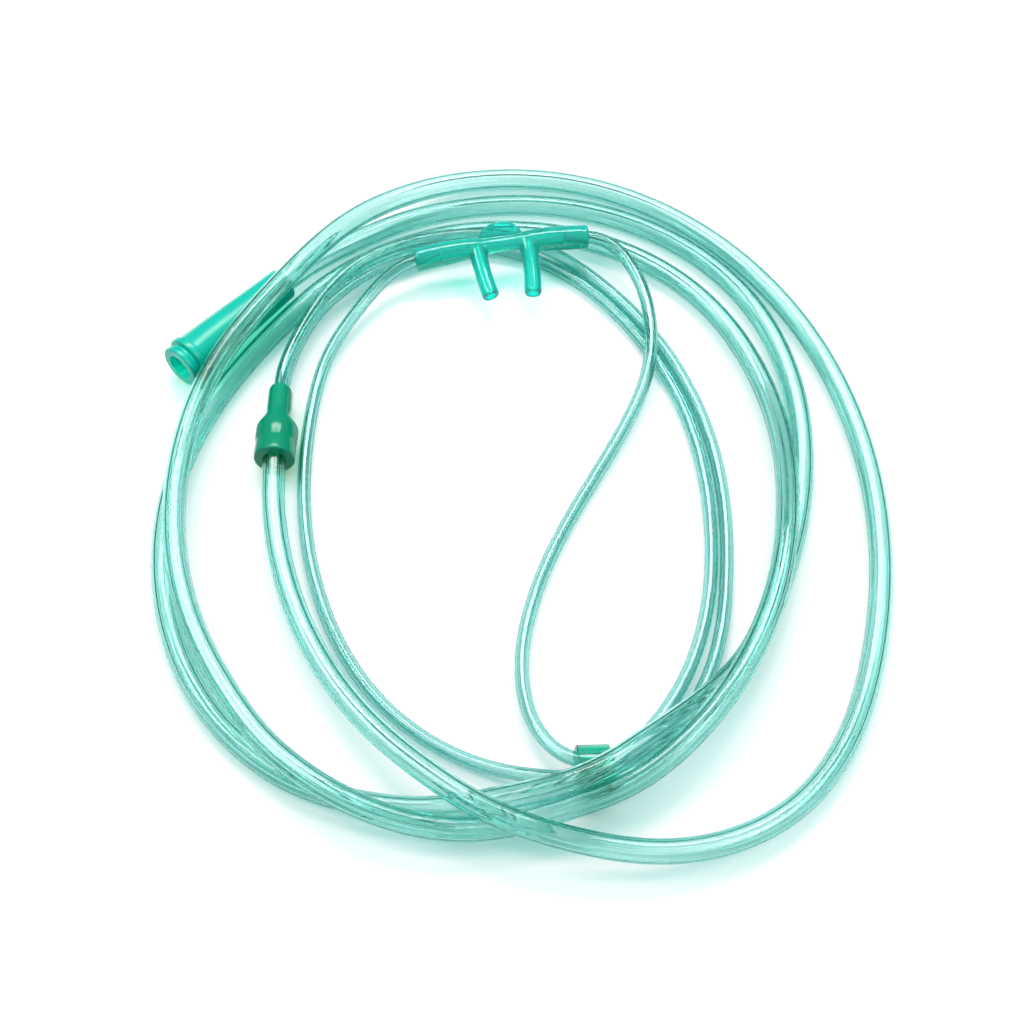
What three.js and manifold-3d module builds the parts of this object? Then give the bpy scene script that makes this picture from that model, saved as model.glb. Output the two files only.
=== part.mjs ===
// Nasal oxygen cannula, laid down loosely coiled.
// Seven separate pieces: the moulded nasal piece with its two prongs, the slider
// that gathers the two thin tubes, the Y connector, the wide supply tube, the two
// thin tubes and the funnel connector that pushes onto an oxygen outlet.
// Millimetres, +Z up, z = 0 is the surface it lies on. The funnel lies along X
// with its mouth towards -X.
import * as THREE from 'three';
import { mergeVertices } from 'three/addons/utils/BufferGeometryUtils.js';
import Module from 'manifold-3d';

// ---- driving dimensions ----
const SUPPLY_OD = 6.0;          // wide supply tube
const THIN_OD = 3.5;            // the two thin tubes
const SUPPLY_BORE = 4.2;
const THIN_BORE = 2.2;
const GAP = 0.3;                // clearance between pieces that meet

const FUNNEL_LIP_R = 5.9;       // end rim
const FUNNEL_COLLAR_R = 6.6;    // second rim, behind the groove
const FUNNEL_MOUTH_BORE_R = 3.6;
const FUNNEL_SOCKET_DEPTH = 20;
const FUNNEL_NARROW_R = 4.6;

const SLIDER_R = 5.1;
const SLIDER_BORE_R = 4.25;

const Y_BODY_R = 5.5;           // round body on the supply side
const Y_COLLAR_R = 5.3;         // its end, which takes the supply tube
const Y_NECK_HALF_WIDTH = 3.15; // flat neck that takes the thin tubes
const Y_NECK_HALF_HEIGHT = 4.2;
const THIN_STACK = 1.97;        // the thin tubes lie one above the other in the neck

const BAR_END_R = 3.35;         // sockets at both ends of the nasal piece
const PRONG_BASE_SPACING = 14.2;
const PRONG_TIP_SPACING = 11.4;
const PRONG_REACH = [16.0, 16.9];   // from the bar's axis to the tips, left and right
const PRONG_BASE_R = 2.45;
const PRONG_MID_R = 2.18;
const PRONG_TIP_R = 2.3;
const PRONG_BORE_R = 1.5;
const PRONG_DROP = 0.17;        // the prongs slope down towards their tips (radians)
const TAB_WIDTH = 12.2;
const TAB_HEIGHT = 4.9;
const TAB_THICKNESS = 1.6;

// axes of the fittings, mouth or free end first
const FUNNEL_AXIS = [[-41.087, 77.766, 6.777], [-1.824, 77.766, 5.177]];
const SLIDER_AXIS = [[-61.487, -75.449, 6.458], [-56.07, -81.009, 5.926]];
const Y_AXIS = [[-27.962, 53.212, 4.377], [-45.696, 38.156, 6.327]];   // neck end, supply end
const BAR_ARC = [[25.753, 53.528, 8.677], [62.784, 22.701, 8.977], [45.538, 39.66, 10.827]];   // left end, right end, the point its arc bends towards

// centre line of the supply tube, from the Y connector to the funnel
const SUPPLY_ROUTE = [
  [-45.92, 37.96, 6.35], [-55.24, 29.25, 6.33], [-65.16, 17.3, 6.05], [-73.33, 4.29, 6.08], [-79.61, -9.68, 6.54], [-83.8, -23.96, 7.49],
  [-85.88, -38.09, 8.95], [-86.19, -54.91, 11.22], [-85.53, -64.78, 12.46], [-83.15, -74.29, 12.26], [-76.91, -87.21, 9.9], [-69.04, -99.19, 7.8],
  [-62.43, -106.41, 6.64], [-54.22, -112.7, 5.68], [-44.92, -117.42, 4.91], [-35.26, -120.06, 4.31], [-25.49, -120.7, 3.86], [-13.24, -119.14, 3.48],
  [-1.1, -115.49, 3.25], [15.22, -108.01, 3.09], [30.26, -98.88, 3.03], [43.92, -88.27, 3.01], [56.23, -76.09, 3.01], [67.05, -62.35, 3.01],
  [76.06, -47.25, 3.01], [82.03, -33.38, 3.01], [86.14, -18.87, 3.01], [88.18, -4.01, 3.03], [87.96, 10.88, 3.08], [85.92, 23.05, 3.17],
  [82.06, 34.73, 3.35], [76.28, 45.68, 3.68], [68.53, 55.59, 4.21], [59.09, 64.03, 5], [48.44, 70.49, 6.09], [37.15, 74.57, 7.47],
  [25.7, 76.5, 9.12], [11.61, 76.07, 10.91], [-5.03, 73.73, 12.59], [-22.76, 71.19, 12.47], [-35.14, 68.61, 11.61], [-46.73, 64.17, 10.75],
  [-59.55, 56.93, 9.85], [-71.15, 48.01, 9.14], [-81.57, 37.24, 8.63], [-89.35, 26.37, 8.38], [-95.64, 14.25, 8.3], [-101.46, -2.31, 8.52],
  [-104.45, -15.37, 8.94], [-104.96, -26.82, 9.34], [-103.51, -38.89, 9.22], [-99.88, -50.81, 8.61], [-95.21, -59.61, 7.78], [-88.89, -67.34, 6.75],
  [-83.23, -72.29, 6.1], [-71.23, -80.51, 7.51], [-59, -87.93, 9.65], [-49.43, -90.91, 10.59], [-36.7, -92.29, 11.54], [-23.61, -91.63, 11.68],
  [-8.13, -88.48, 10.96], [6.49, -83.32, 10.08], [20.01, -76.25, 9.21], [34.36, -66.22, 7.73], [45.11, -56.57, 6.32], [54.29, -45.68, 5.11],
  [62.2, -32.94, 4.21], [67.28, -21.1, 3.71], [70.16, -8.76, 3.38], [70.62, 3.69, 3.19], [68.73, 15.92, 3.09], [64.59, 27.61, 3.04],
  [58.38, 38.48, 3.01], [50.44, 48.25, 3.01], [40.98, 56.53, 3.01], [30.06, 62.79, 3.01], [18.33, 67.14, 3.01], [5.95, 69.56, 3.01],
  [-6.66, 69.46, 3.01], [-24.2, 68.01, 3.01], [-41.24, 64.81, 3.01], [-55.21, 60.13, 3.01], [-66.26, 54.47, 3.01], [-76.58, 47.11, 3.01],
  [-85.89, 38.3, 3.01], [-93.85, 28.34, 3.01], [-100.22, 17.52, 3.01], [-104.74, 6.08, 3.01], [-107.18, -5.78, 3.01], [-107.33, -17.92, 3.01],
  [-105.64, -27.75, 3.01], [-101.17, -39.66, 3.18], [-94.77, -50.88, 3.98], [-88.54, -58.75, 5.14], [-81.77, -65.37, 7.22], [-70.38, -76.61, 12.56],
  [-64.46, -80.45, 13.78], [-57.74, -83.07, 13.71], [-50.48, -84.41, 12.33], [-35.45, -86.8, 8.41], [-20.8, -88.53, 5.78], [-11.13, -88.13, 4.77],
  [1, -85.21, 3.95], [17.65, -79.22, 3.15], [31.21, -72.93, 3.01], [45.94, -63.53, 3.01], [57.39, -53.72, 3.01], [65.74, -44.24, 3.01],
  [72.62, -33.75, 3.01], [77.69, -22.38, 3.01], [80.61, -10.36, 3.01], [81.33, 2.01, 3.01], [79.9, 14.37, 3.01], [76.4, 26.36, 3.01],
  [70.93, 37.58, 3.02], [63.68, 47.75, 3.04], [54.92, 56.69, 3.07], [44.94, 64.24, 3.16], [33.99, 70.21, 3.31], [19.83, 74.93, 3.68],
  [8.14, 77.29, 4.53], [-1.52, 77.77, 5.16],
];

// centre lines of the thin tubes, from the nasal piece to the Y connector
const LEFT_ROUTE = [
  [25.51, 53.7, 8.65], [23.44, 54.96, 8.33], [21.28, 55.84, 7.88], [16.72, 56.69, 6.91], [9.36, 56.57, 5.53], [1.61, 55.66, 4.36],
  [-6.03, 54.15, 3.45], [-13.06, 51.72, 2.79], [-19.4, 48.37, 2.35], [-27.51, 43.07, 2], [-35.44, 37.17, 1.84], [-43.05, 30.71, 1.78],
  [-50.19, 23.73, 1.76], [-56.77, 16.23, 1.76], [-62.7, 8.23, 1.76], [-67.91, -0.28, 1.76], [-72.26, -9.26, 1.77], [-75.52, -18.64, 1.81],
  [-77.13, -25.92, 1.87], [-77.93, -33.39, 1.99], [-77.84, -40.99, 2.21], [-76.85, -48.57, 2.55], [-74.99, -55.88, 3.05], [-72.28, -62.7, 3.75],
  [-67.69, -71.02, 4.93], [-63.66, -76.74, 5.84], [-60.41, -80.18, 6.13], [-58.52, -81.74, 5.64], [-54.2, -84.05, 5], [-49.4, -85.46, 4.42],
  [-41.9, -86.44, 3.58], [-34.37, -86.3, 2.83], [-26.85, -85.16, 2.32], [-19.46, -83.13, 2.07], [-12.42, -80.28, 1.91], [-3.63, -75.49, 1.81],
  [4.68, -69.93, 1.76], [12.72, -63.94, 1.76], [20.34, -57.49, 1.76], [27.44, -50.56, 1.76], [33.96, -43.12, 1.76], [39.79, -35.12, 1.76],
  [44.87, -26.56, 1.76], [49.25, -17.51, 1.76], [52.71, -8.06, 1.76], [55.18, 1.6, 1.76], [56.67, 11.25, 1.97], [56.94, 18.47, 2.39],
  [56.41, 25.79, 3.08], [54.84, 32.93, 4.07], [53.12, 37.26, 4.83], [49.76, 42.75, 5.84], [45.99, 47.3, 6.61], [39.43, 53.15, 7.26],
  [31.25, 58.96, 7.72], [24.32, 62.58, 7.9], [19.49, 64.28, 7.97], [14.6, 65.3, 8.01], [7.22, 65.6, 7.88], [-0.12, 64.72, 7.49],
  [-9.6, 62.32, 6.84], [-19.12, 58.85, 6.32], [-23.63, 56.53, 6.13], [-27.61, 53.51, 6.31],
];

const RIGHT_ROUTE = [
  [63, 22.49, 8.95], [64.48, 20.62, 8.72], [65.3, 18.49, 8.43], [65.61, 16.18, 8.13], [65.45, 13.73, 7.83], [64.06, 8.67, 7.27],
  [61.75, 3.76, 6.8], [58.88, -0.7, 6.44], [53.88, -6.51, 6.03], [48.16, -11.58, 5.63], [41.94, -15.8, 4.93], [35.18, -18.97, 4.08],
  [25.57, -21.98, 3.12], [15.88, -24.28, 2.46], [6.29, -26.31, 2.07], [-3.24, -28.36, 1.89], [-12.75, -30.73, 1.82], [-22.27, -33.69, 1.84],
  [-31.77, -37.51, 1.95], [-40.92, -42.35, 2.22], [-47.17, -46.69, 2.57], [-52.62, -51.68, 3.11], [-57.06, -57.37, 3.84], [-59.3, -61.64, 4.41],
  [-60.69, -66.26, 5.01], [-60.94, -68.63, 5.32], [-60.83, -70.98, 5.62], [-60.3, -73.22, 5.9], [-59.33, -75.3, 6.1], [-57.9, -77.14, 6.13],
  [-56.01, -78.71, 5.64], [-51.98, -80.77, 5.01], [-47.63, -81.79, 4.47], [-40.53, -82.06, 3.73], [-33.06, -81.37, 3.1], [-25.62, -79.87, 2.61],
  [-18.37, -77.62, 2.26], [-9.1, -73.61, 2], [-0.32, -68.61, 1.92], [7.86, -62.8, 1.94], [15.6, -56.44, 1.95], [22.9, -49.58, 1.91],
  [29.63, -42.2, 1.85], [35.69, -34.29, 1.81], [40.96, -25.85, 1.79], [45.35, -16.91, 1.76], [48.78, -7.67, 1.91], [51.26, 1.89, 2.16],
  [52.78, 11.87, 2.26], [53.11, 19.42, 2.29], [52.49, 26.82, 2.3], [50.91, 34.05, 2.33], [48.36, 40.86, 2.55], [45.91, 44.94, 2.83],
  [42.77, 48.53, 3.24], [37.28, 52.98, 3.84], [31.38, 56.64, 4.38], [22.82, 60.66, 4.8], [15.9, 62.9, 4.79], [8.71, 64.27, 4.39],
  [1.32, 64.67, 3.82], [-3.76, 64.27, 3.41], [-8.9, 63.09, 3.02], [-16.62, 60.23, 2.51], [-23.84, 56.41, 2.18], [-27.86, 53.3, 2.39],
];

// ---- helpers ----
const wasm = await Module();
wasm.setup();

const v = (p) => new THREE.Vector3(p[0], p[1], p[2]);

function toManifold(geometry) {
  let g = geometry.index ? geometry.toNonIndexed() : geometry.clone();
  for (const name of Object.keys(g.attributes)) if (name !== 'position') g.deleteAttribute(name);
  g = mergeVertices(g, 1e-4);
  const pos = g.attributes.position.array;
  const idx = g.index.array;
  const tris = [];
  for (let i = 0; i < idx.length; i += 3) {
    const [a, b, c] = [idx[i], idx[i + 1], idx[i + 2]];
    if (a !== b && b !== c && a !== c) tris.push(a, b, c);
  }
  return new wasm.Manifold(new wasm.Mesh({
    numProp: 3, vertProperties: new Float32Array(pos), triVerts: new Uint32Array(tris),
  }));
}

function fromManifold(solid) {
  const m = solid.getMesh();
  const g = new THREE.BufferGeometry();
  const n = m.vertProperties.length / m.numProp;
  const pos = new Float32Array(n * 3);
  for (let i = 0; i < n; i++) for (let k = 0; k < 3; k++) pos[3 * i + k] = m.vertProperties[i * m.numProp + k];
  g.setAttribute('position', new THREE.BufferAttribute(pos, 3));
  g.setIndex(new THREE.BufferAttribute(new Uint32Array(m.triVerts), 1));
  return g;
}

// Closed skin through a row of rings with the same number of points, flat ends.
function loft(rings) {
  const n = rings[0].length;
  const pos = [];
  for (const ring of rings) for (const p of ring) pos.push(p.x, p.y, p.z);
  const centre = (ring) => ring.reduce((s, p) => s.add(p), new THREE.Vector3()).divideScalar(n);
  const c0 = pos.length / 3;
  const first = centre(rings[0]);
  const last = centre(rings[rings.length - 1]);
  pos.push(first.x, first.y, first.z, last.x, last.y, last.z);
  const idx = [];
  for (let r = 0; r < rings.length - 1; r++) {
    for (let i = 0; i < n; i++) {
      const a = r * n + i;
      const b = r * n + (i + 1) % n;
      idx.push(a, b, b + n, a, b + n, a + n);
    }
  }
  const e = (rings.length - 1) * n;
  for (let i = 0; i < n; i++) {
    idx.push(c0, (i + 1) % n, i);
    idx.push(c0 + 1, e + i, e + (i + 1) % n);
  }
  const g = new THREE.BufferGeometry();
  g.setAttribute('position', new THREE.BufferAttribute(new Float32Array(pos), 3));
  g.setIndex(idx);
  return g;
}

// An oval ring across `along`, half width on `across`, half height on `up`.
// power 2 is an ellipse, larger is squarer.
function oval(centre, across, up, halfW, halfH, n, power = 2) {
  const out = [];
  for (let i = 0; i < n; i++) {
    const t = (i / n) * Math.PI * 2;
    const c = Math.cos(t);
    const s = Math.sin(t);
    const x = Math.sign(c) * Math.abs(c) ** (2 / power) * halfW;
    const y = Math.sign(s) * Math.abs(s) ** (2 / power) * halfH;
    out.push(centre.clone().addScaledVector(across, x).addScaledVector(up, y));
  }
  return out;
}

// Round bar between two points, used as a cutter.
function rod(a, b, ra, rb, n) {
  const along = b.clone().sub(a).normalize();
  const side = Math.abs(along.z) > 0.9 ? new THREE.Vector3(1, 0, 0) : new THREE.Vector3(0, 0, 1);
  const across = side.clone().cross(along).normalize();
  const up = along.clone().cross(across);
  return loft([oval(a, across, up, ra, ra, n), oval(b, across, up, rb, rb, n)]);
}

// A turned shape: profile of [radius, distance], its axis laid along a to b.
function turned(profile, segments, a, b) {
  const pts = profile.map(([r, d]) => new THREE.Vector2(r, d));
  const g = new THREE.LatheGeometry(pts, segments);
  const along = b.clone().sub(a).normalize();
  const q = new THREE.Quaternion().setFromUnitVectors(new THREE.Vector3(0, 1, 0), along);
  g.applyQuaternion(q);
  g.translate(a.x, a.y, a.z);
  return g;
}

// The tube's centre line runs through its stations, which lie closer together
// where it bends over another piece.
class StationCurve extends THREE.Curve {
  constructor(points) {
    super();
    this.points = points;
    this.smooth = new THREE.CatmullRomCurve3(points, false, 'centripetal');
  }
  getPoint(t, target = new THREE.Vector3()) { return this.smooth.getPoint(t, target); }
  getPointAt(u, target = new THREE.Vector3()) { return this.smooth.getPoint(u, target); }
  getTangentAt(u, target = new THREE.Vector3()) { return this.smooth.getTangent(u, target); }
  getSpacedPoints() { return this.points.map((p) => p.clone()); }
}

function tube(stations, diameter, sides) {
  const points = stations.map(v);
  const outline = new THREE.Shape();
  for (let i = 0; i < sides; i++) {
    const t = ((i + 0.5) / sides) * Math.PI * 2;
    const x = (Math.cos(t) * diameter) / 2;
    const y = (Math.sin(t) * diameter) / 2;
    if (i === 0) outline.moveTo(x, y); else outline.lineTo(x, y);
  }
  outline.closePath();
  return new THREE.ExtrudeGeometry(outline, {
    steps: points.length - 1, bevelEnabled: false, extrudePath: new StationCurve(points), curveSegments: 1,
  });
}

// ---- materials ----
const clearTube = new THREE.MeshStandardMaterial({ color: 0x9fe3cf, roughness: 0.18, metalness: 0 });
const softGreen = new THREE.MeshStandardMaterial({ color: 0x12b48e, roughness: 0.28, metalness: 0 });
const deepGreen = new THREE.MeshStandardMaterial({ color: 0x0b8a68, roughness: 0.32, metalness: 0 });

// ---- funnel connector: a tapered socket with two rims at its mouth ----
function funnelConnector() {
  const a = v(FUNNEL_AXIS[0]);
  const b = v(FUNNEL_AXIS[1]);
  const L = a.distanceTo(b);
  const lip = FUNNEL_LIP_R;
  const collar = FUNNEL_COLLAR_R;
  const n = FUNNEL_NARROW_R;
  const profile = [
    [FUNNEL_MOUTH_BORE_R, 0], [lip - 0.4, 0], [lip, 0.4], [lip, 1.3], [lip - 0.4, 1.8],
    [lip - 0.4, 2.5], [collar - 0.25, 3.0], [collar, 3.3], [collar, 4.6], [collar - 0.45, 5.0],
    [5.75, 12], [5.45, 20], [5.05, 28], [n + 0.08, 36], [n, L - 1.4], [n - 0.3, L - 0.6],
    [n - 0.95, L], [SUPPLY_BORE / 2, L],
    [SUPPLY_BORE / 2, FUNNEL_SOCKET_DEPTH + 3], [FUNNEL_MOUTH_BORE_R - 0.6, FUNNEL_SOCKET_DEPTH],
    [FUNNEL_MOUTH_BORE_R - 0.1, 1.2],
    [FUNNEL_MOUTH_BORE_R, 0],
  ];
  return turned(profile, 40, a, b);
}

// ---- slider: a plain ring round both thin tubes ----
function tubeSlider() {
  const a = v(SLIDER_AXIS[0]);
  const b = v(SLIDER_AXIS[1]);
  const L = a.distanceTo(b);
  const R = SLIDER_R;
  const profile = [
    [SLIDER_BORE_R, 0], [R - 0.3, 0], [R, 0.35], [R, L - 0.35], [R - 0.3, L],
    [SLIDER_BORE_R, L], [SLIDER_BORE_R, 0],
  ];
  return turned(profile, 40, a, b);
}

// ---- Y connector: round body for the supply tube, flat neck for the two thin ones ----
function yConnector() {
  const top = v(Y_AXIS[0]);
  const bottom = v(Y_AXIS[1]);
  const along = top.clone().sub(bottom).normalize();
  const L = top.distanceTo(bottom);
  const up = new THREE.Vector3(0, 0, 1);
  const across = up.clone().cross(along).normalize();
  const upward = along.clone().cross(across).normalize();
  const at = (d) => bottom.clone().addScaledVector(along, d);
  const rows = [
    [0, Y_COLLAR_R - 0.35, Y_COLLAR_R - 0.35], [0.4, Y_COLLAR_R, Y_COLLAR_R], [4.6, Y_COLLAR_R, Y_COLLAR_R],
    [5.2, Y_COLLAR_R - 0.1, Y_COLLAR_R - 0.1], [6.2, Y_BODY_R - 0.05, Y_BODY_R - 0.05], [9.8, Y_BODY_R, Y_BODY_R],
    [10.8, Y_BODY_R - 0.35, Y_BODY_R - 0.2], [12.2, Y_BODY_R - 1.15, Y_BODY_R - 0.55],
    [13.6, Y_NECK_HALF_WIDTH + 0.4, Y_NECK_HALF_HEIGHT + 0.2], [14.6, Y_NECK_HALF_WIDTH + 0.05, Y_NECK_HALF_HEIGHT],
    [L - 1.6, Y_NECK_HALF_WIDTH, Y_NECK_HALF_HEIGHT], [L - 0.7, Y_NECK_HALF_WIDTH - 0.3, Y_NECK_HALF_HEIGHT - 0.2],
    [L, Y_NECK_HALF_WIDTH - 0.95, Y_NECK_HALF_HEIGHT - 0.6],
  ];
  let solid = toManifold(loft(rows.map(([d, w, h]) => oval(at(d), across, upward, w, h, 32, d > 13 ? 2.3 : 2))));
  solid = solid.subtract(toManifold(rod(at(-1), at(12.8), SUPPLY_BORE / 2, SUPPLY_BORE / 2, 20)));
  for (const side of [1, -1]) {
    const lift = upward.clone().multiplyScalar(side * THIN_STACK);
    solid = solid.subtract(toManifold(rod(at(L + 1).add(lift), at(11.8).add(lift.clone().multiplyScalar(0.7)), THIN_BORE / 2, THIN_BORE / 2, 14)));
  }
  return fromManifold(solid);
}

// ---- nasal piece: a gently arched hollow bar, two prongs and a thin half-moon tab, one moulding ----
function nasalPiece() {
  const [a, b, bend] = BAR_ARC.map(v);
  const arc = new THREE.QuadraticBezierCurve3(a, bend, b);
  const L = a.distanceTo(b);
  const frameAt = (t) => {
    const along = arc.getTangent(Math.min(1, Math.max(0, t)));
    const up = new THREE.Vector3(0, 0, 1).addScaledVector(along, -along.z).normalize();
    const c = arc.getPoint(Math.min(1, Math.max(0, t)));
    if (t < 0) c.addScaledVector(along, t * L);
    if (t > 1) c.addScaledVector(along, (t - 1) * L);
    return { c, along, up, back: up.clone().cross(along).normalize() };
  };
  // the bar is round and thick at both arms, thinner and flatter between the prongs
  const half = [
    [0, BAR_END_R - 0.3, BAR_END_R - 0.3], [0.4, BAR_END_R - 0.03, BAR_END_R - 0.03], [4, BAR_END_R, BAR_END_R],
    [9, BAR_END_R, BAR_END_R - 0.05], [13.5, 3.2, 3.05], [16, 2.9, 2.75], [18.5, 2.55, 2.35], [21, 2.42, 2.15],
  ];
  const rows = [...half, [L / 2, 2.4, 2.1], ...half.slice().reverse().map(([d, w, h]) => [L - d, w, h])];
  let solid = toManifold(loft(rows.map(([d, w, h]) => {
    const f = frameAt(d / L);
    return oval(f.c, f.back, f.up, w, h, 28);
  })));
  const { c: mid, along, up, back } = frameAt(0.5);
  const forward = back.clone().negate();
  const fall = forward.clone().multiplyScalar(Math.cos(PRONG_DROP)).addScaledVector(up, -Math.sin(PRONG_DROP));
  const bores = [];
  for (const side of [-1, 1]) {
    const rings = [];
    const inner = [];
    for (let k = 0; k <= 8; k++) {
      const t = k / 8;
      const length = PRONG_REACH[side < 0 ? 0 : 1];
      const reach = length * t;
      const away = 0.3 * side + PRONG_BASE_SPACING / 2 + (PRONG_TIP_SPACING - PRONG_BASE_SPACING) / 2 * t * t;
      const slope = (PRONG_TIP_SPACING - PRONG_BASE_SPACING) * t / length;
      const c = mid.clone().addScaledVector(along, side * away).addScaledVector(fall, reach);
      const dir = fall.clone().addScaledVector(along, side * slope).normalize();
      const across = up.clone().cross(dir).normalize();
      const high = dir.clone().cross(across).normalize();
      const flare = Math.max(0, 1 - reach / 4.6);
      const r = t < 0.5 ? PRONG_BASE_R + (PRONG_MID_R - PRONG_BASE_R) * t * 2 : PRONG_MID_R + (PRONG_TIP_R - PRONG_MID_R) * (t * 2 - 1);
      rings.push(oval(c, across, high, r + 0.9 * flare * flare, r, 24));
      inner.push(oval(c, across, high, PRONG_BORE_R, PRONG_BORE_R, 16));
      if (k === 8) inner.push(oval(c.clone().addScaledVector(dir, 1), across, high, PRONG_BORE_R, PRONG_BORE_R, 16));
    }
    solid = solid.add(toManifold(loft(rings)));
    bores.push(toManifold(loft(inner)));
  }
  // half-moon tab standing up and back from the middle of the bar
  const lean = 0.75;
  const rise = up.clone().multiplyScalar(Math.sin(lean)).addScaledVector(forward, -Math.cos(lean));
  const face = along.clone().cross(rise).normalize();
  const tabRing = (off) => {
    const out = [];
    const base = mid.clone().addScaledVector(rise, 1.2);
    for (let i = 0; i <= 16; i++) {
      const t = Math.PI * (i / 16);
      out.push(base.clone().addScaledVector(along, Math.cos(t) * TAB_WIDTH / 2)
        .addScaledVector(rise, Math.sin(t) ** 0.9 * TAB_HEIGHT).addScaledVector(face, off));
    }
    return out;
  };
  solid = solid.add(toManifold(loft([tabRing(-TAB_THICKNESS / 2), tabRing(TAB_THICKNESS / 2)])));
  const bore = [];
  for (let k = -1; k <= 13; k++) {
    const f = frameAt(k < 0 ? -0.03 : k > 12 ? 1.03 : k / 12);
    bore.push(oval(f.c, f.back, f.up, THIN_BORE / 2, THIN_BORE / 2, 16));
  }
  solid = solid.subtract(toManifold(loft(bore)));
  for (const cut of bores) solid = solid.subtract(cut);
  return fromManifold(solid);
}

// ---- the object ----
const cannula = new THREE.Group();
cannula.name = 'nasal_oxygen_cannula';
function piece(name, geometry, material) {
  const mesh = new THREE.Mesh(geometry, material);
  mesh.name = name;
  cannula.add(mesh);
}
piece('nasal_prongs', nasalPiece(), softGreen);
piece('tube_slider', tubeSlider(), clearTube);
piece('y_connector', yConnector(), deepGreen);
piece('funnel_connector', funnelConnector(), softGreen);
piece('supply_tube', tube(SUPPLY_ROUTE, SUPPLY_OD, 10), clearTube);
piece('left_tube', tube(LEFT_ROUTE, THIN_OD, 8), clearTube);
piece('right_tube', tube(RIGHT_ROUTE, THIN_OD, 8), clearTube);

export default cannula;
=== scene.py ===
import math

import bpy
import numpy as np
from mathutils import Matrix, Vector


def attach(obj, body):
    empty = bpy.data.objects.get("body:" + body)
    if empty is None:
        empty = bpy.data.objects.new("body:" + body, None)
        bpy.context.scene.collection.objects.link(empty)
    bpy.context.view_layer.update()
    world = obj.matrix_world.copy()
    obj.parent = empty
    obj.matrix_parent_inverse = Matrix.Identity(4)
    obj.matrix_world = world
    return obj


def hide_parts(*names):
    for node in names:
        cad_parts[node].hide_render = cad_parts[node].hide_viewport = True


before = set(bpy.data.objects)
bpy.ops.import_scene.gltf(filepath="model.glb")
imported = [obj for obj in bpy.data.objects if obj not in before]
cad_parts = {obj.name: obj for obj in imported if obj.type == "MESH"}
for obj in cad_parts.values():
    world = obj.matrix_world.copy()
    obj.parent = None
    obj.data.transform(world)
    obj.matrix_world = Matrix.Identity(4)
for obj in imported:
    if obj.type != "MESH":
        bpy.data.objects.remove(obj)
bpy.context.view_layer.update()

# ---- where everything lies, in metres, in the part's own frame ----
CAMERA_AT = (-0.203606, -0.177068, 0.396863)
CAMERA_TURN = -49.52788      # degrees about Z
FUNNEL_AXIS = ((-0.041087, 0.077766, 0.006777), (-0.001824, 0.077766, 0.005177))
SLIDER_AXIS = ((-0.061487, -0.075449, 0.006458), (-0.056070, -0.081009, 0.005926))
Y_AXIS = ((-0.027962, 0.053212, 0.004377), (-0.045696, 0.038156, 0.006327))
BAR_ARC = ((0.025753, 0.053528, 0.008677), (0.062784, 0.022701, 0.008977), (0.045538, 0.039660, 0.010827))      # left end, right end, the point its arc bends towards
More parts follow.
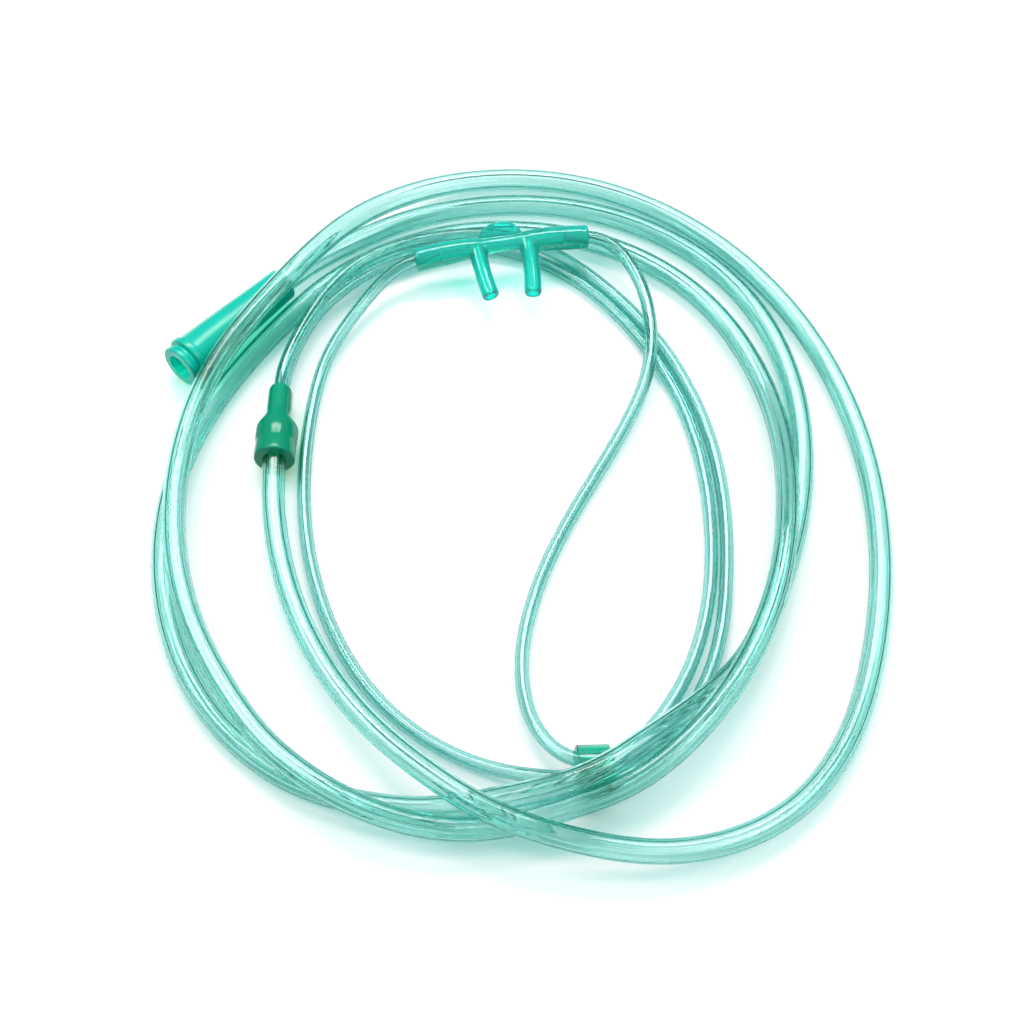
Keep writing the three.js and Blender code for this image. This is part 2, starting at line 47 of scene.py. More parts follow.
SUPPLY_ROUTE = [
    (-0.04592, 0.03796, 0.00635), (-0.05524, 0.02925, 0.00633), (-0.06516, 0.01730, 0.00605), (-0.07333, 0.00429, 0.00608), (-0.07961, -0.00968, 0.00654), (-0.08380, -0.02396, 0.00749),
    (-0.08588, -0.03809, 0.00895), (-0.08619, -0.05491, 0.01122), (-0.08553, -0.06478, 0.01246), (-0.08315, -0.07429, 0.01226), (-0.07691, -0.08721, 0.00990), (-0.06904, -0.09919, 0.00780),
    (-0.06243, -0.10641, 0.00664), (-0.05422, -0.11270, 0.00568), (-0.04492, -0.11742, 0.00491), (-0.03526, -0.12006, 0.00431), (-0.02549, -0.12070, 0.00386), (-0.01324, -0.11914, 0.00348),
    (-0.00110, -0.11549, 0.00325), (0.01522, -0.10801, 0.00309), (0.03026, -0.09888, 0.00303), (0.04392, -0.08827, 0.00301), (0.05623, -0.07609, 0.00301), (0.06705, -0.06235, 0.00301),
    (0.07606, -0.04725, 0.00301), (0.08203, -0.03338, 0.00301), (0.08614, -0.01887, 0.00301), (0.08818, -0.00401, 0.00303), (0.08796, 0.01088, 0.00308), (0.08592, 0.02305, 0.00317),
    (0.08206, 0.03473, 0.00335), (0.07628, 0.04568, 0.00368), (0.06853, 0.05559, 0.00421), (0.05909, 0.06403, 0.00500), (0.04844, 0.07049, 0.00609), (0.03715, 0.07457, 0.00747),
    (0.02570, 0.07650, 0.00912), (0.01161, 0.07607, 0.01091), (-0.00503, 0.07373, 0.01259), (-0.02276, 0.07119, 0.01247), (-0.03514, 0.06861, 0.01161), (-0.04673, 0.06417, 0.01075),
    (-0.05955, 0.05693, 0.00985), (-0.07115, 0.04801, 0.00914), (-0.08157, 0.03724, 0.00863), (-0.08935, 0.02637, 0.00838), (-0.09564, 0.01425, 0.00830), (-0.10146, -0.00231, 0.00852),
    (-0.10445, -0.01537, 0.00894), (-0.10496, -0.02682, 0.00934), (-0.10351, -0.03889, 0.00922), (-0.09988, -0.05081, 0.00861), (-0.09521, -0.05961, 0.00778), (-0.08889, -0.06734, 0.00675),
    (-0.08323, -0.07229, 0.00610), (-0.07123, -0.08051, 0.00751), (-0.05900, -0.08793, 0.00965), (-0.04943, -0.09091, 0.01059), (-0.03670, -0.09229, 0.01154), (-0.02361, -0.09163, 0.01168),
    (-0.00813, -0.08848, 0.01096), (0.00649, -0.08332, 0.01008), (0.02001, -0.07625, 0.00921), (0.03436, -0.06622, 0.00773), (0.04511, -0.05657, 0.00632), (0.05429, -0.04568, 0.00511),
    (0.06220, -0.03294, 0.00421), (0.06728, -0.02110, 0.00371), (0.07016, -0.00876, 0.00338), (0.07062, 0.00369, 0.00319), (0.06873, 0.01592, 0.00309), (0.06459, 0.02761, 0.00304),
    (0.05838, 0.03848, 0.00301), (0.05044, 0.04825, 0.00301), (0.04098, 0.05653, 0.00301), (0.03006, 0.06279, 0.00301), (0.01833, 0.06714, 0.00301), (0.00595, 0.06956, 0.00301),
    (-0.00666, 0.06946, 0.00301), (-0.02420, 0.06801, 0.00301), (-0.04124, 0.06481, 0.00301), (-0.05521, 0.06013, 0.00301), (-0.06626, 0.05447, 0.00301), (-0.07658, 0.04711, 0.00301),
    (-0.08589, 0.03830, 0.00301), (-0.09385, 0.02834, 0.00301), (-0.10022, 0.01752, 0.00301), (-0.10474, 0.00608, 0.00301), (-0.10718, -0.00578, 0.00301), (-0.10733, -0.01792, 0.00301),
    (-0.10564, -0.02775, 0.00301), (-0.10117, -0.03966, 0.00318), (-0.09477, -0.05088, 0.00398), (-0.08854, -0.05875, 0.00514), (-0.08177, -0.06537, 0.00722), (-0.07038, -0.07661, 0.01256),
    (-0.06446, -0.08045, 0.01378), (-0.05774, -0.08307, 0.01371), (-0.05048, -0.08441, 0.01233), (-0.03545, -0.08680, 0.00841), (-0.02080, -0.08853, 0.00578), (-0.01113, -0.08813, 0.00477),
    (0.00100, -0.08521, 0.00395), (0.01765, -0.07922, 0.00315), (0.03121, -0.07293, 0.00301), (0.04594, -0.06353, 0.00301), (0.05739, -0.05372, 0.00301), (0.06574, -0.04424, 0.00301),
    (0.07262, -0.03375, 0.00301), (0.07769, -0.02238, 0.00301), (0.08061, -0.01036, 0.00301), (0.08133, 0.00201, 0.00301), (0.07990, 0.01437, 0.00301), (0.07640, 0.02636, 0.00301),
    (0.07093, 0.03758, 0.00302), (0.06368, 0.04775, 0.00304), (0.05492, 0.05669, 0.00307), (0.04494, 0.06424, 0.00316), (0.03399, 0.07021, 0.00331), (0.01983, 0.07493, 0.00368),
    (0.00814, 0.07729, 0.00453), (-0.00152, 0.07777, 0.00516),
]
LEFT_ROUTE = [
    (0.02551, 0.05370, 0.00865), (0.02344, 0.05496, 0.00833), (0.02128, 0.05584, 0.00788), (0.01672, 0.05669, 0.00691), (0.00936, 0.05657, 0.00553), (0.00161, 0.05566, 0.00436),
    (-0.00603, 0.05415, 0.00345), (-0.01306, 0.05172, 0.00279), (-0.01940, 0.04837, 0.00235), (-0.02751, 0.04307, 0.00200), (-0.03544, 0.03717, 0.00184), (-0.04305, 0.03071, 0.00178),
    (-0.05019, 0.02373, 0.00176), (-0.05677, 0.01623, 0.00176), (-0.06270, 0.00823, 0.00176), (-0.06791, -0.00028, 0.00176), (-0.07226, -0.00926, 0.00177), (-0.07552, -0.01864, 0.00181),
    (-0.07713, -0.02592, 0.00187), (-0.07793, -0.03339, 0.00199), (-0.07784, -0.04099, 0.00221), (-0.07685, -0.04857, 0.00255), (-0.07499, -0.05588, 0.00305), (-0.07228, -0.06270, 0.00375),
    (-0.06769, -0.07102, 0.00493), (-0.06366, -0.07674, 0.00584), (-0.06041, -0.08018, 0.00613), (-0.05852, -0.08174, 0.00564), (-0.05420, -0.08405, 0.00500), (-0.04940, -0.08546, 0.00442),
    (-0.04190, -0.08644, 0.00358), (-0.03437, -0.08630, 0.00283), (-0.02685, -0.08516, 0.00232), (-0.01946, -0.08313, 0.00207), (-0.01242, -0.08028, 0.00191), (-0.00363, -0.07549, 0.00181),
    (0.00468, -0.06993, 0.00176), (0.01272, -0.06394, 0.00176), (0.02034, -0.05749, 0.00176), (0.02744, -0.05056, 0.00176), (0.03396, -0.04312, 0.00176), (0.03979, -0.03512, 0.00176),
    (0.04487, -0.02656, 0.00176), (0.04925, -0.01751, 0.00176), (0.05271, -0.00806, 0.00176), (0.05518, 0.00160, 0.00176), (0.05667, 0.01125, 0.00197), (0.05694, 0.01847, 0.00239),
    (0.05641, 0.02579, 0.00308), (0.05484, 0.03293, 0.00407), (0.05312, 0.03726, 0.00483), (0.04976, 0.04275, 0.00584), (0.04599, 0.04730, 0.00661), (0.03943, 0.05315, 0.00726),
    (0.03125, 0.05896, 0.00772), (0.02432, 0.06258, 0.00790), (0.01949, 0.06428, 0.00797), (0.01460, 0.06530, 0.00801), (0.00722, 0.06560, 0.00788), (-0.00012, 0.06472, 0.00749),
    (-0.00960, 0.06232, 0.00684), (-0.01912, 0.05885, 0.00632), (-0.02363, 0.05653, 0.00613), (-0.02761, 0.05351, 0.00631),
]
RIGHT_ROUTE = [
    (0.06300, 0.02249, 0.00895), (0.06448, 0.02062, 0.00872), (0.06530, 0.01849, 0.00843), (0.06561, 0.01618, 0.00813), (0.06545, 0.01373, 0.00783), (0.06406, 0.00867, 0.00727),
    (0.06175, 0.00376, 0.00680), (0.05888, -0.00070, 0.00644), (0.05388, -0.00651, 0.00603), (0.04816, -0.01158, 0.00563), (0.04194, -0.01580, 0.00493), (0.03518, -0.01897, 0.00408),
    (0.02557, -0.02198, 0.00312), (0.01588, -0.02428, 0.00246), (0.00629, -0.02631, 0.00207), (-0.00324, -0.02836, 0.00189), (-0.01275, -0.03073, 0.00182), (-0.02227, -0.03369, 0.00184),
    (-0.03177, -0.03751, 0.00195), (-0.04092, -0.04235, 0.00222), (-0.04717, -0.04669, 0.00257), (-0.05262, -0.05168, 0.00311), (-0.05706, -0.05737, 0.00384), (-0.05930, -0.06164, 0.00441),
    (-0.06069, -0.06626, 0.00501), (-0.06094, -0.06863, 0.00532), (-0.06083, -0.07098, 0.00562), (-0.06030, -0.07322, 0.00590), (-0.05933, -0.07530, 0.00610), (-0.05790, -0.07714, 0.00613),
    (-0.05601, -0.07871, 0.00564), (-0.05198, -0.08077, 0.00501), (-0.04763, -0.08179, 0.00447), (-0.04053, -0.08206, 0.00373), (-0.03306, -0.08137, 0.00310), (-0.02562, -0.07987, 0.00261),
    (-0.01837, -0.07762, 0.00226), (-0.00910, -0.07361, 0.00200), (-0.00032, -0.06861, 0.00192), (0.00786, -0.06280, 0.00194), (0.01560, -0.05644, 0.00195), (0.02290, -0.04958, 0.00191),
    (0.02963, -0.04220, 0.00185), (0.03569, -0.03429, 0.00181), (0.04096, -0.02585, 0.00179), (0.04535, -0.01691, 0.00176), (0.04878, -0.00767, 0.00191), (0.05126, 0.00189, 0.00216),
    (0.05278, 0.01187, 0.00226), (0.05311, 0.01942, 0.00229), (0.05249, 0.02682, 0.00230), (0.05091, 0.03405, 0.00233), (0.04836, 0.04086, 0.00255), (0.04591, 0.04494, 0.00283),
    (0.04277, 0.04853, 0.00324), (0.03728, 0.05298, 0.00384), (0.03138, 0.05664, 0.00438), (0.02282, 0.06066, 0.00480), (0.01590, 0.06290, 0.00479), (0.00871, 0.06427, 0.00439),
    (0.00132, 0.06467, 0.00382), (-0.00376, 0.06427, 0.00341), (-0.00890, 0.06309, 0.00302), (-0.01662, 0.06023, 0.00251), (-0.02384, 0.05641, 0.00218), (-0.02786, 0.05330, 0.00239),
]

SUPPLY_R = 0.0030
THIN_R = 0.00175

# ---- camera ----
cam_data = bpy.data.cameras.new("camera")
cam_data.sensor_width = 36.0
cam_data.lens = 64.02
cam_data.clip_start = 0.01
cam_data.clip_end = 50.0
cam_data.dof.use_dof = False
cam = bpy.data.objects.new("camera", cam_data)
bpy.context.scene.collection.objects.link(cam)
cam.location = CAMERA_AT
cam.rotation_euler = (math.radians(32.0), 0.0, math.radians(CAMERA_TURN))
bpy.context.scene.camera = cam

scene = bpy.context.scene
scene.view_settings.view_transform = "Standard"
scene.view_settings.look = "None"
scene.view_settings.exposure = 0.0
scene.cycles.max_bounces = 20
scene.cycles.transmission_bounces = 20
scene.cycles.transparent_max_bounces = 32
scene.cycles.glossy_bounces = 6
scene.cycles.diffuse_bounces = 4
scene.cycles.caustics_refractive = False
scene.cycles.caustics_reflective = False


# ---- helpers ----
def unit(v):
    return v / np.linalg.norm(v)


def catmull(points, per=24):
    """Centripetal curve through the points, sampled finely."""
    p = np.array(points, float)
    p = np.vstack([2 * p[0] - p[1], p, 2 * p[-1] - p[-2]])
    out = []
    for i in range(1, len(p) - 2):
        p0, p1, p2, p3 = p[i - 1], p[i], p[i + 1], p[i + 2]
        t0 = 0.0
        t1 = t0 + np.linalg.norm(p1 - p0) ** 0.5
        t2 = t1 + np.linalg.norm(p2 - p1) ** 0.5
        t3 = t2 + np.linalg.norm(p3 - p2) ** 0.5
        for t in np.linspace(t1, t2, per, endpoint=False):
            a1 = (t1 - t) / (t1 - t0) * p0 + (t - t0) / (t1 - t0) * p1
            a2 = (t2 - t) / (t2 - t1) * p1 + (t - t1) / (t2 - t1) * p2
            a3 = (t3 - t) / (t3 - t2) * p2 + (t - t2) / (t3 - t2) * p3
            b1 = (t2 - t) / (t2 - t0) * a1 + (t - t0) / (t2 - t0) * a2
            b2 = (t3 - t) / (t3 - t1) * a2 + (t - t1) / (t3 - t1) * a3
            out.append((t2 - t) / (t2 - t1) * b1 + (t - t1) / (t2 - t1) * b2)
    out.append(p[-2])
    return np.array(out)


def evenly(p, step):
    d = np.concatenate([[0], np.cumsum(np.linalg.norm(np.diff(p, axis=0), axis=1))])
    n = max(2, int(round(d[-1] / step)))
    t = np.linspace(0, d[-1], n + 1)
    return np.stack([np.interp(t, d, p[:, k]) for k in range(3)], 1)


def route(points, step, ease):
    """The tube's centre line at an even step, with the small unevenness of the stations eased out."""
    p = evenly(catmull(points), 0.001)
    w = int(round(3 * ease / 0.001))
    x = np.arange(-w, w + 1) * 0.001
    k = np.exp(-0.5 * (x / ease) ** 2)
    k /= k.sum()
    pad = np.vstack([2 * p[0] - p[w:0:-1], p, 2 * p[-1] - p[-2:-w - 2:-1]])
    q = np.stack([np.convolve(pad[:, i], k, mode="valid") for i in range(3)], 1)
    q[0], q[-1] = p[0], p[-1]
    return evenly(q, step)


def carried(p):
    """Frames carried along a path without twist: tangents, sides, ups."""
    t = np.gradient(p, axis=0)
    t /= np.linalg.norm(t, axis=1, keepdims=True)
    ups = np.zeros_like(p)
    u = np.array([0, 0, 1.0]) - t[0] * t[0][2]
    ups[0] = unit(u)
    for i in range(1, len(p)):
        u = ups[i - 1] - t[i] * (ups[i - 1] @ t[i])
        ups[i] = unit(u)
    sides = np.cross(t, ups)
    return t, sides, ups


def mesh_object(name, verts, faces, smooth=True):
    me = bpy.data.meshes.new(name)
    me.from_pydata([tuple(map(float, v)) for v in verts], [], faces)
    me.validate()
    me.update()
    ob = bpy.data.objects.new(name, me)
    bpy.context.scene.collection.objects.link(ob)
    if smooth:
        me.shade_smooth()
    return ob


def skin(rings, closed_ends=True):
    """Faces through rings of the same number of points, with flat ends."""
    n = len(rings[0])
    verts = np.concatenate(rings)
    faces = []
    for r in range(len(rings) - 1):
        a = r * n
        for i in range(n):
            j = (i + 1) % n
            faces.append((a + i, a + j, a + n + j, a + n + i))
    if closed_ends:
        faces.append(tuple(range(n - 1, -1, -1)))
        e = (len(rings) - 1) * n
        faces.append(tuple(range(e, e + n)))
    return verts, faces


def hollow_tube(name, path, outer, bore, n_out, n_in):
    """A tube wall: outer skin, inner skin and an annulus at each end. bore(angle) is the bore's radius."""
    t, s, u = carried(path)
    ao = np.linspace(0, 2 * np.pi, n_out, endpoint=False)
    ai = np.linspace(0, 2 * np.pi, n_in, endpoint=False)
    ri = bore(ai)
    m = len(path)
    vo = path[:, None] + outer * (np.cos(ao)[None, :, None] * s[:, None] + np.sin(ao)[None, :, None] * u[:, None])
    vi = path[:, None] + ri[None, :, None] * (np.cos(ai)[None, :, None] * s[:, None] + np.sin(ai)[None, :, None] * u[:, None])
    verts = np.concatenate([vo.reshape(-1, 3), vi.reshape(-1, 3)])
    faces = []
    for r in range(m - 1):
        a = r * n_out
        for i in range(n_out):
            j = (i + 1) % n_out
            faces.append((a + i, a + n_out + i, a + n_out + j, a + j))
    b0 = m * n_out
    for r in range(m - 1):
        a = b0 + r * n_in
        for i in range(n_in):
            j = (i + 1) % n_in
            faces.append((a + i, a + j, a + n_in + j, a + n_in + i))
    # ends: n_in is a whole multiple of n_out
    k = n_in // n_out
    for r, flip in ((0, False), (m - 1, True)):
        for i in range(n_out):
            j = (i + 1) % n_out
            o = [r * n_out + i, r * n_out + j]
            inner = [b0 + r * n_in + (i * k + q) % n_in for q in range(k + 1)]
            f = [o[0], o[1]] + inner[::-1]
            faces.append(tuple(f[::-1]) if flip else tuple(f))
    return mesh_object(name, verts, faces)


def turned(name, profile, a, b, n=72):
    """A closed profile of (radius, distance along a to b) turned about that axis."""
    a, b = np.array(a), np.array(b)
    along = unit(b - a)
    up = unit(np.array([0, 0, 1.0]) - along * along[2])
    side = np.cross(along, up)
    ang = np.linspace(0, 2 * np.pi, n, endpoint=False)
    verts = []
    for r, d in profile:
        verts.append(a + along * d + r * (np.cos(ang)[:, None] * side + np.sin(ang)[:, None] * up))
    m = len(profile)
    faces = []
    for k in range(m):
        p, q = k * n, ((k + 1) % m) * n
        for i in range(n):
            j = (i + 1) % n
            faces.append((p + i, p + j, q + j, q + i))
    ob = mesh_object(name, np.concatenate(verts), faces)
    outward(ob)
    return ob


def outward(ob):
    import bmesh
    bm = bmesh.new()
    bm.from_mesh(ob.data)
    bmesh.ops.recalc_face_normals(bm, faces=bm.faces)
    bm.to_mesh(ob.data)
    bm.free()
    ob.data.update()


def rounded(profile, radius_steps=4):
    """Profile corners given as (r, d, bend) are rounded with that bend."""
    out = []
    n = len(profile)
    for i, c in enumerate(profile):
        p = np.array(c[:2], float)
        bend = c[2] if len(c) > 2 else 0.0
        if bend <= 0:
            out.append(tuple(p))
            continue
        a = np.array(profile[(i - 1) % n][:2], float)
        b = np.array(profile[(i + 1) % n][:2], float)
        da, db = a - p, b - p
        la, lb = np.linalg.norm(da), np.linalg.norm(db)
        cut = min(bend, la * 0.49, lb * 0.49)
        s, e = p + da / la * cut, p + db / lb * cut
        for t in np.linspace(0, 1, radius_steps + 1):
            out.append(tuple((1 - t) ** 2 * s + 2 * t * (1 - t) * p + t * t * e))
    return out


def apply_all(ob):
    dg = bpy.context.evaluated_depsgraph_get()
    me = bpy.data.meshes.new_from_object(ob.evaluated_get(dg), depsgraph=dg)
    old = ob.data
    ob.modifiers.clear()
    ob.data = me
    if old.users == 0:
        bpy.data.meshes.remove(old)


def cut(ob, *cutters):
    for c in cutters:
        m = ob.modifiers.new("cut", "BOOLEAN")
        m.operation = "DIFFERENCE"
        m.solver = "EXACT"
        m.object = c
    bpy.context.view_layer.update()
    apply_all(ob)
    for c in cutters:
        me = c.data
        bpy.data.objects.remove(c)
        bpy.data.meshes.remove(me)


def by_angle(ob, degrees):
    ob.data.shade_smooth()
    ob.data.set_sharp_from_angle(angle=math.radians(degrees))


# ---- materials ----
def vinyl(name, tint, deep, density, roughness=0.06, clear=1.0, shade=(0.8, 0.95, 0.9), gloss=0.5):
    """Clear coloured vinyl. It lets a tinted share of the lamps' light through to what lies under it."""
    m = bpy.data.materials.new(name)
    m.use_nodes = True
    nt = m.node_tree
    p = nt.nodes["Principled BSDF"]
    p.inputs["Base Color"].default_value = (*tint, 1)
    p.inputs["Roughness"].default_value = roughness
    p.inputs["IOR"].default_value = 1.47
    p.inputs["Transmission Weight"].default_value = clear
    p.inputs["Specular IOR Level"].default_value = gloss
    out = nt.nodes["Material Output"]
    if density > 0:
        v = nt.nodes.new("ShaderNodeVolumeAbsorption")
        v.inputs["Color"].default_value = (*deep, 1)
        v.inputs["Density"].default_value = density
        nt.links.new(v.outputs["Volume"], out.inputs["Volume"])
    lp = nt.nodes.new("ShaderNodeLightPath")
    tr = nt.nodes.new("ShaderNodeBsdfTransparent")
    tr.inputs["Color"].default_value = (*shade, 1)
    mix = nt.nodes.new("ShaderNodeMixShader")
    nt.links.new(lp.outputs["Is Shadow Ray"], mix.inputs["Fac"])
    nt.links.new(p.outputs["BSDF"], mix.inputs[1])
    nt.links.new(tr.outputs["BSDF"], mix.inputs[2])
    nt.links.new(mix.outputs["Shader"], out.inputs["Surface"])
    return m


clear_mint = vinyl("supply_vinyl", (0.98, 1.0, 0.995), (0.18, 0.75, 0.695), 520.0, 0.03, 1.0, (0.994, 0.999, 0.998))
thin_mint = vinyl("thin_vinyl", (0.98, 1.0, 0.995), (0.18, 0.72, 0.68), 900.0, 0.03, 1.0, (0.994, 0.999, 0.998))
ring_green = vinyl("slider_vinyl", (0.5, 0.95, 0.88), (0.04, 0.76, 0.66), 1200.0, 0.06, 1.0, (0.94, 0.985, 0.975))
nasal_green = vinyl("nasal_vinyl", (0.03, 0.88, 0.79), (0.01, 0.89, 0.83), 800.0, 0.07, 0.78, (0.975, 0.995, 0.99), 0.4)
funnel_green = vinyl("funnel_vinyl", (0.0, 0.74, 0.62), (0.01, 0.90, 0.82), 900.0, 0.24, 0.50, (0.97, 0.993, 0.988), 0.2)
deep_green = vinyl("connector_vinyl", (0.0, 0.42, 0.24), (0.01, 0.84, 0.70), 1100.0, 0.12, 0.45, (0.96, 0.992, 0.985), 0.2)

# ---- tubes ----
def with_ends(path, before, after, step):
    """The path carried straight on into the sockets at both ends."""
    a, b = unit(path[1] - path[0]), unit(path[-1] - path[-2])
    head = [path[0] - a * d for d in np.linspace(before, 0, max(2, int(before / step)) + 1)[:-1]] if before > 0 else []
    tail = [path[-1] + b * d for d in np.linspace(0, after, max(2, int(after / step)) + 1)[1:]] if after > 0 else []
    parts = [x for x in (np.array(head), path, np.array(tail)) if len(x)]
    return np.concatenate(parts)


supply_path = with_ends(route(SUPPLY_ROUTE, 0.00125, 0.004), 0.008, 0.013, 0.00125)
left_path = with_ends(route(LEFT_ROUTE, 0.001, 0.0025), 0.007, 0.007, 0.001)
right_path = with_ends(route(RIGHT_ROUTE, 0.001, 0.0020), 0.007, 0.007, 0.001)

supply = hollow_tube("supply_tube_vinyl", supply_path, SUPPLY_R, lambda a: 0.00205 + 0.00014 * np.cos(6 * a), 24, 48)
left = hollow_tube("left_tube_vinyl", left_path, THIN_R, lambda a: 0.00108 + 0.00004 * np.cos(4 * a), 24, 24)
right = hollow_tube("right_tube_vinyl", right_path, THIN_R, lambda a: 0.00108 + 0.00004 * np.cos(4 * a), 24, 24)
for ob, mat in ((supply, clear_mint), (left, thin_mint), (right, thin_mint)):
    ob.data.materials.append(mat)

# ---- funnel connector ----
mmm = 0.001
FL = float(np.linalg.norm(np.array(FUNNEL_AXIS[1]) - np.array(FUNNEL_AXIS[0]))) / mmm
funnel_profile = rounded([
    (3.6, 0, 0.25), (5.9, 0, 0.45), (5.9, 1.5, 0.3), (5.45, 1.85, 0.25), (5.45, 2.6, 0.25), (6.6, 3.0, 0.35), (6.6, 4.75, 0.3),
    (6.12, 5.0, 0.2), (5.78, 12), (5.45, 20), (5.05, 28), (4.68, 36), (4.6, FL, 1.5), (3.08, FL, 0.25), (3.04, FL - 13.5),
    (2.1, FL - 13.8), (2.1, 22), (3.0, 19.5, 0.6), (3.5, 1.0),
])
funnel = turned("funnel_connector_vinyl", [(r * mmm, d * mmm) for r, d in funnel_profile], FUNNEL_AXIS[0], FUNNEL_AXIS[1])
by_angle(funnel, 50)
funnel.data.materials.append(funnel_green)

# ---- slider ----
SL = float(np.linalg.norm(np.array(SLIDER_AXIS[1]) - np.array(SLIDER_AXIS[0]))) / mmm
slider_profile = rounded([(4.2, 0, 0.15), (5.1, 0, 0.35), (5.1, SL, 0.35), (4.2, SL, 0.15)])
slider = turned("tube_slider_vinyl", [(r * mmm, d * mmm) for r, d in slider_profile], SLIDER_AXIS[0], SLIDER_AXIS[1])
by_angle(slider, 50)
slider.data.materials.append(ring_green)

# ---- Y connector ----
def oval(centre, across, up, w, h, n, power=2.0):
    t = np.linspace(0, 2 * np.pi, n, endpoint=False)
    c, s = np.cos(t), np.sin(t)
    x = np.sign(c) * np.abs(c) ** (2 / power) * w
    y = np.sign(s) * np.abs(s) ** (2 / power) * h
    return centre + x[:, None] * across + y[:, None] * up


def bar_cutter(name, a, b, ra, rb, n=40):
    a, b = np.array(a), np.array(b)
    along = unit(b - a)
    up = unit(np.array([0, 0, 1.0]) - along * along[2])
    side = np.cross(along, up)
    v, f = skin([oval(a, side, up, ra, ra, n), oval(b, side, up, rb, rb, n)])
    ob = mesh_object(name, v, f)
    outward(ob)
    return ob


y_top, y_low = np.array(Y_AXIS[0]), np.array(Y_AXIS[1])
y_al = unit(y_top - y_low)
YL = float(np.linalg.norm(y_top - y_low)) / mmm
y_ac = unit(np.cross([0, 0, 1.0], y_al))
y_up = unit(np.cross(y_al, y_ac))


def y_at(d, lift=0.0):
    return y_low + y_al * d * mmm + y_up * lift * mmm


rows = [(0, 4.95, 4.95, 2), (0.08, 5.12, 5.12, 2), (0.3, 5.26, 5.26, 2), (0.7, 5.3, 5.3, 2), (4.4, 5.3, 5.3, 2), (4.9, 5.2, 5.2, 2), (5.5, 5.24, 5.24, 2),
        (6.3, 5.46, 5.46, 2), (9.4, 5.5, 5.5, 2), (10.2, 5.42, 5.44, 2),
        (10.9, 5.12, 5.28, 2), (11.6, 4.7, 5.05, 2), (12.4, 4.1, 4.8, 2.1), (13.2, 3.6, 4.5, 2.2), (14.0, 3.3, 4.3, 2.3), (14.8, 3.2, 4.22, 2.4),
        (17, 3.18, 4.2, 2.4), (YL - 1.6, 3.18, 4.2, 2.4), (YL - 0.9, 3.05, 4.1, 2.4), (YL - 0.4, 2.8, 3.9, 2.3), (YL - 0.1, 2.45, 3.6, 2.3), (YL, 2.2, 3.4, 2.3)]
v, f = skin([oval(y_at(d), y_ac, y_up, w * mmm, h * mmm, 64, p) for d, w, h, p in rows])
yc = mesh_object("y_connector_vinyl", v, f)
outward(yc)
cutters = [bar_cutter("c0", y_at(-1), y_at(8.4), 3.04 * mmm, 3.04 * mmm), bar_cutter("c1", y_at(8), y_at(12.8), 2.1 * mmm, 2.1 * mmm)]
for sgn in (1, -1):
    cutters.append(bar_cutter("c2", y_at(YL + 1, 1.97 * sgn), y_at(YL - 7.3, 1.97 * sgn), 1.79 * mmm, 1.79 * mmm))
    cutters.append(bar_cutter("c3", y_at(YL - 7, 1.97 * sgn), y_at(11.8, 1.3 * sgn), 1.1 * mmm, 1.1 * mmm))
cut(yc, *cutters)
by_angle(yc, 40)
yc.data.materials.append(deep_green)

# ---- nasal piece ----
b0, b1, bend = (np.array(x) for x in BAR_ARC)
al = unit(b1 - b0)
BL = float(np.linalg.norm(b1 - b0)) / mmm
up = unit(np.array([0, 0, 1.0]) - al * al[2])
fw = np.cross(al, up)
mid = (b0 + b1) / 4 + bend / 2


def bar_frame(d):
    """Place on the bar's arc, its direction there, and the sideways and upward directions."""
    t = min(1.0, max(0.0, d / BL))
    c = (1 - t) ** 2 * b0 + 2 * t * (1 - t) * bend + t * t * b1
    a = unit(2 * (1 - t) * (bend - b0) + 2 * t * (b1 - bend))
    c = c + a * (d - t * BL) * mmm
    u = unit(np.array([0, 0, 1.0]) - a * a[2])
    return c, a, np.cross(u, a), u


half = [(0, 2.95, 2.95), (0.12, 3.15, 3.15), (0.4, 3.3, 3.3), (0.8, 3.35, 3.35), (4, 3.35, 3.35), (8, 3.35, 3.32), (10, 3.3, 3.25), (12, 3.25, 3.12), (14, 3.1, 2.95),
        (16, 2.9, 2.75), (18, 2.62, 2.42), (20, 2.45, 2.2), (22, 2.4, 2.12)]
rows = half + [(BL / 2, 2.4, 2.1)] + [(BL - d, w, h) for d, w, h in half[::-1]]
rings = []
for d, w, h in rows:
    c, a, sd, u = bar_frame(d)
    rings.append(oval(c, sd, u, w * mmm, h * mmm, 48))
v, f = skin(rings)
bar = mesh_object("nasal_prongs_vinyl", v, f)
outward(bar)
DROP, REACHES, SB, ST, RB, RM, RT = 0.17, (16.0, 16.9), 14.2, 11.4, 2.45, 2.18, 2.3
fall = fw * math.cos(DROP) - up * math.sin(DROP)
parts, bores = [], []
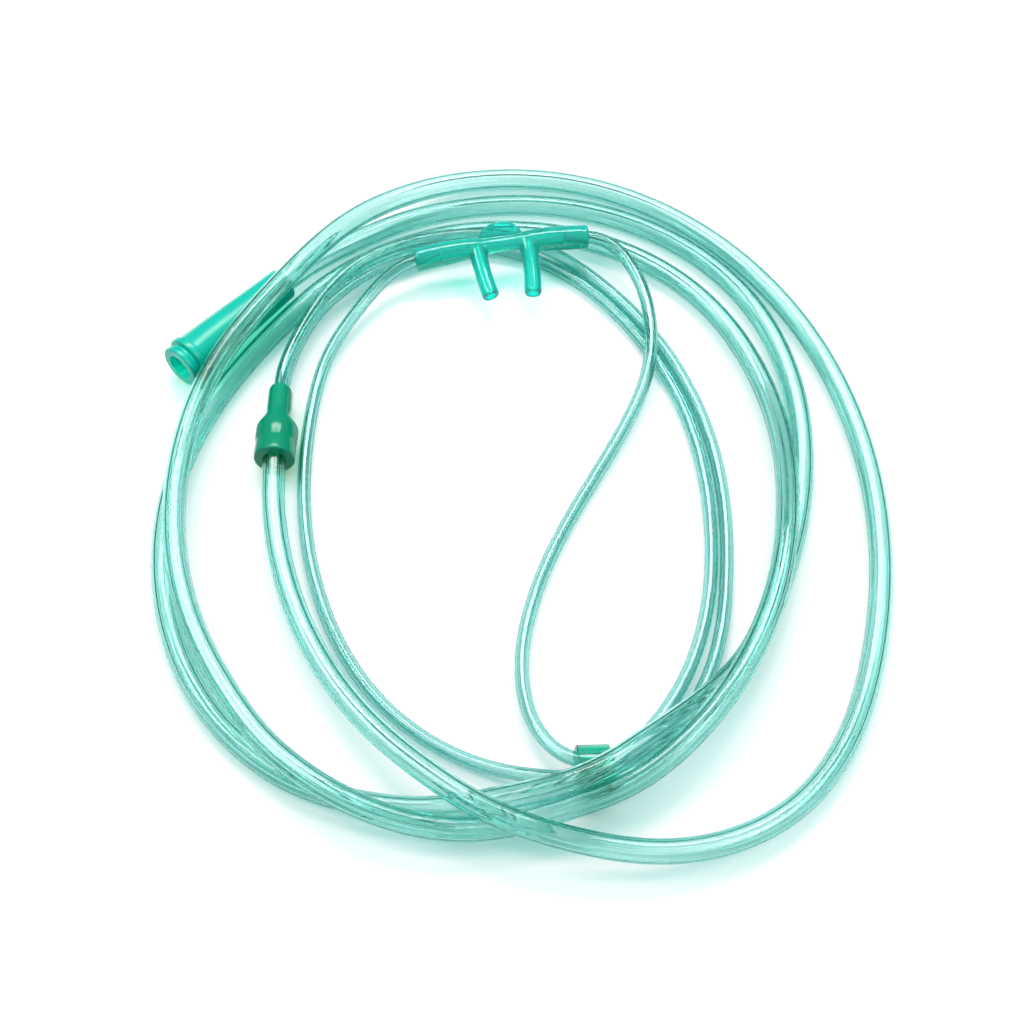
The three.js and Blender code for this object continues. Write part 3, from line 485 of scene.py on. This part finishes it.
for side, REACH in ((-1, REACHES[0]), (1, REACHES[1])):
    rings, inner = [], []
    for k in range(25):
        t = k / 24
        reach = REACH * t
        away = 0.3 * side + SB / 2 + (ST - SB) / 2 * t * t
        slope = (ST - SB) * t / REACH
        c = mid + al * side * away * mmm + fall * reach * mmm
        d = unit(fall + al * side * slope)
        ac = unit(np.cross(up, d))
        hi = np.cross(d, ac)
        r = RB + (RM - RB) * t * 2 if t < 0.5 else RM + (RT - RM) * (t * 2 - 1)
        flare = max(0.0, 1 - reach / 4.6) ** 2 * 1.0
        edge = 0.22 * max(0.0, (reach - REACH + 0.5) / 0.5) ** 2
        rings.append(oval(c, ac, hi, (r + 0.1 + flare - edge) * mmm, (r + 0.1 + flare * 0.1 - edge) * mmm, 40))
        inner.append(oval(c, ac, hi, 1.5 * mmm, 1.5 * mmm, 32))
        if k == 24:
            inner.append(oval(c + d * mmm, ac, hi, 1.5 * mmm, 1.5 * mmm, 32))
    v, f = skin(rings)
    ob = mesh_object("prong", v, f)
    outward(ob)
    parts.append(ob)
    v, f = skin(inner)
    ob = mesh_object("bore", v, f)
    outward(ob)
    bores.append(ob)
lean = 0.75
rise = up * math.sin(lean) - fw * math.cos(lean)
face = np.cross(al, rise)
rings = []
for off in (-0.8, -0.62, 0, 0.62, 0.8):
    base = mid + rise * 1.2 * mmm
    sc = 0.965 if abs(off) > 0.7 else 1.0
    rings.append(np.array([base + al * math.cos(t) * 6.1 * sc * mmm + rise * (math.sin(t) ** 0.9) * 4.9 * sc * mmm + face * off * mmm for t in np.linspace(0, math.pi, 33)]))
v, f = skin(rings)
tab = mesh_object("tab", v, f)
outward(tab)
parts.append(tab)


def join(ob, others):
    for o in others:
        m = ob.modifiers.new("join", "BOOLEAN")
        m.operation = "UNION"
        m.solver = "EXACT"
        m.object = o
    bpy.context.view_layer.update()
    apply_all(ob)
    for o in others:
        me = o.data
        bpy.data.objects.remove(o)
        bpy.data.meshes.remove(me)


join(bar, parts)
# one moulding: fine skin, with its inner corners eased
rm = bar.modifiers.new("fine", "REMESH")
rm.mode = "VOXEL"
rm.voxel_size = 0.00022
sm = bar.modifiers.new("ease", "SMOOTH")
sm.factor = 0.5
sm.iterations = 10
bpy.context.view_layer.update()
apply_all(bar)
for name, path in (("bore_left", left_path), ("bore_right", right_path)):
    inward = unit(path[0] - path[1])
    bores.append(bar_cutter(name, path[0] + inward * 0.0006, path[0] - inward * 0.0090, 1.79 * mmm, 1.79 * mmm))
rings = []
for d in np.linspace(7.0, BL - 7.0, 25):
    c, a, sd, u = bar_frame(d)
    rings.append(oval(c, sd, u, 1.3 * mmm, 1.3 * mmm, 32))
v, f = skin(rings)
ob = mesh_object("bore_mid", v, f)
outward(ob)
bores.append(ob)
cut(bar, *bores)
by_angle(bar, 40)
bar.data.materials.append(nasal_green)

# ---- what moves with what; the model's part that each piece replaces is hidden ----
for ob, node, s in ((supply, "supply_tube", "supply_tube"), (left, "left_tube", "thin_tube"), (right, "right_tube", "thin_tube"),
                    (funnel, "funnel_connector", "funnel_connector"), (slider, "tube_slider", "tube_slider"),
                    (yc, "y_connector", "y_connector"), (bar, "nasal_prongs", "nasal_prongs")):
    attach(ob, "root")
    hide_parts(node)


# ---- floor and light ----
me = bpy.data.meshes.new("floor")
me.from_pydata([(-3, -3, 0), (3, -3, 0), (3, 3, 0), (-3, 3, 0)], [], [(0, 1, 2, 3)])
floor = bpy.data.objects.new("floor", me)
bpy.context.scene.collection.objects.link(floor)
fm = bpy.data.materials.new("floor")
fm.use_nodes = True
fp = fm.node_tree.nodes["Principled BSDF"]
fp.inputs["Base Color"].default_value = (0.96, 0.96, 0.96, 1)
fp.inputs["Roughness"].default_value = 0.7
fp.inputs["Specular IOR Level"].default_value = 0.1
me.materials.append(fm)

world = bpy.data.worlds.new("studio")
scene.world = world
world.use_nodes = True
wt = world.node_tree
bg = wt.nodes["Background"]
bg.inputs["Strength"].default_value = 1.0
tc = wt.nodes.new("ShaderNodeTexCoord")
sep = wt.nodes.new("ShaderNodeSeparateXYZ")
ramp = wt.nodes.new("ShaderNodeValToRGB")
wt.links.new(tc.outputs["Generated"], sep.inputs["Vector"])
wt.links.new(sep.outputs["Z"], ramp.inputs["Fac"])
wt.links.new(ramp.outputs["Color"], bg.inputs["Color"])
ramp.color_ramp.elements[0].position = 0.0
ramp.color_ramp.elements[0].color = (0.05, 0.05, 0.05, 1)
ramp.color_ramp.elements[1].position = 0.85
ramp.color_ramp.elements[1].color = (0.64, 0.64, 0.64, 1)


def area(name, azimuth, elevation, dist, size, radiance):
    """A soft lamp on a dome about the part; azimuth 0 is behind the camera."""
    d = bpy.data.lights.new(name, "AREA")
    d.shape = "RECTANGLE"
    d.size, d.size_y = size
    d.energy = radiance * math.pi * size[0] * size[1]
    o = bpy.data.objects.new(name, d)
    bpy.context.scene.collection.objects.link(o)
    a, e = math.radians(azimuth - CAMERA_TURN), math.radians(elevation)
    o.location = Vector((math.sin(-a) * math.cos(e), -math.cos(a) * math.cos(e), math.sin(e))) * dist
    o.rotation_euler = (-o.location).to_track_quat("-Z", "Y").to_euler()
    return o


area("back", 180, 58, 1.3, (1.0, 0.30), 13)
area("left", 100, 55, 1.3, (0.35, 0.7), 7)
area("right", -70, 55, 1.3, (0.35, 0.35), 7)
